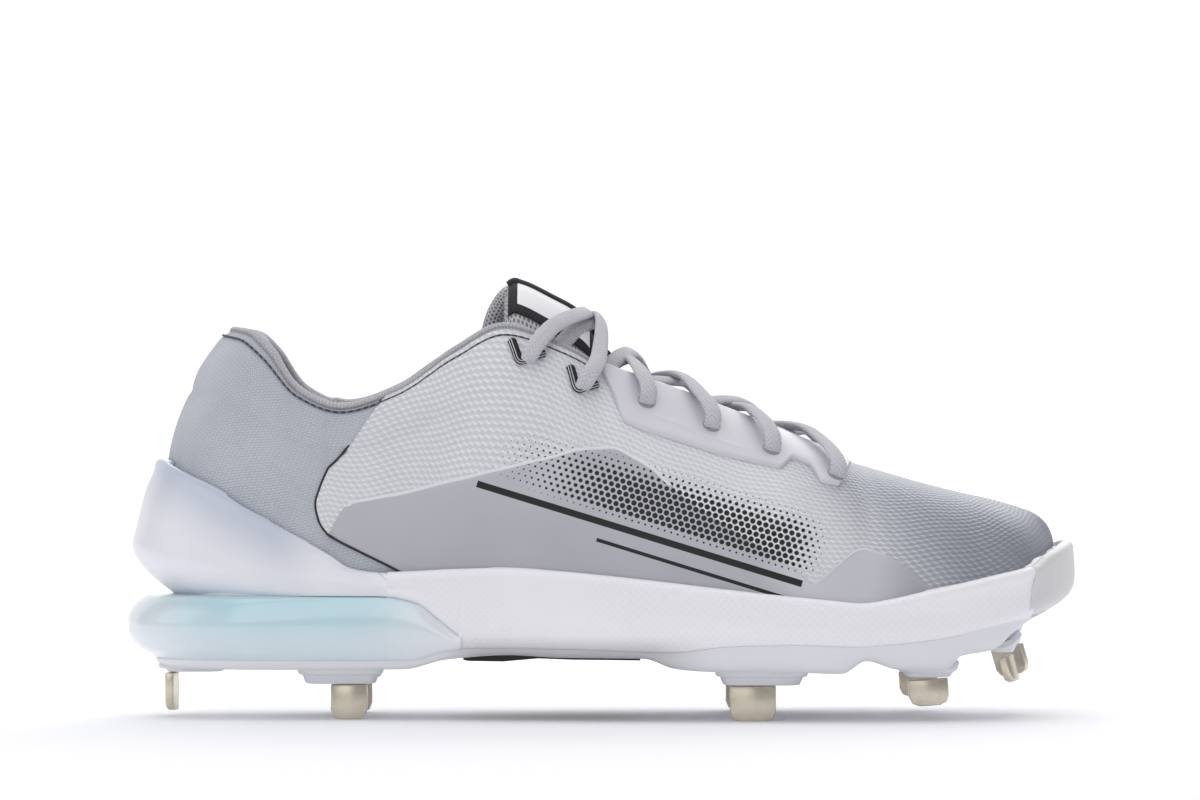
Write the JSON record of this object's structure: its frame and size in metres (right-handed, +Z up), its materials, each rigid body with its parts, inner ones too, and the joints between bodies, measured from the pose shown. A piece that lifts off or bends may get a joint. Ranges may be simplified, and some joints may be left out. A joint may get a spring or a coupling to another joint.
{
  "type": "baseball cleat",
  "caption": "Low-cut right-foot baseball shoe with padded collar, laced throat, moulded heel cup, cushioned heel and bent metal blades under a sculpted plate",
  "frame": {"origin": "on the floor under the middle of the shoe", "axes": "+X to the toe, +Y to the medial side, +Z up"},
  "size_m": [0.2999, 0.1023, 0.1369],
  "materials": {
    "skin": "embossed silver-grey film over woven textile",
    "liner": "matt dark textile",
    "foam": "fine-grained white foam skin",
    "cup": "satin translucent white",
    "cushion": "glossy translucent, faint blue-green",
    "knit": "two-tone grey knit",
    "plate": "frosted white",
    "arch": "black",
    "bumper": "fine-grained white",
    "nickel": "warm nickel plate",
    "stay": "smooth satin grey film",
    "tab": "light textile with a dark edge",
    "webbing": "dark narrow webbing",
    "lace": "woven grey oval lace"
  },
  "bodies": {
    "root": {"upper": "skin", "insole": "liner", "midsole": "foam", "heel_cup": "cup", "heel_cushion": "cushion", "tongue": "knit", "outsole": "plate", "arch_insert": "arch", "toe_bumper": "bumper", "stud_heel_back": "nickel", "stud_heel_lateral": "nickel", "stud_heel_medial": "nickel", "stud_ball_lateral": "nickel", "stud_ball_medial": "nickel", "stud_fore_lateral": "nickel", "stud_fore_medial": "nickel", "stud_toe_lateral": "nickel", "stud_toe_medial": "nickel", "eyestay": "stay", "tongue_tab": "tab", "eyelet_loop_front_lateral": "webbing", "eyelet_loop_front_medial": "webbing", "eyelet_loop_rear_lateral": "webbing", "eyelet_loop_rear_medial": "webbing", "lace_crossing_1": "lace", "lace_crossing_2": "lace", "lace_crossing_3": "lace", "lace_crossing_4": "lace", "lace_crossing_5": "lace"}
  },
  "joints": []
}
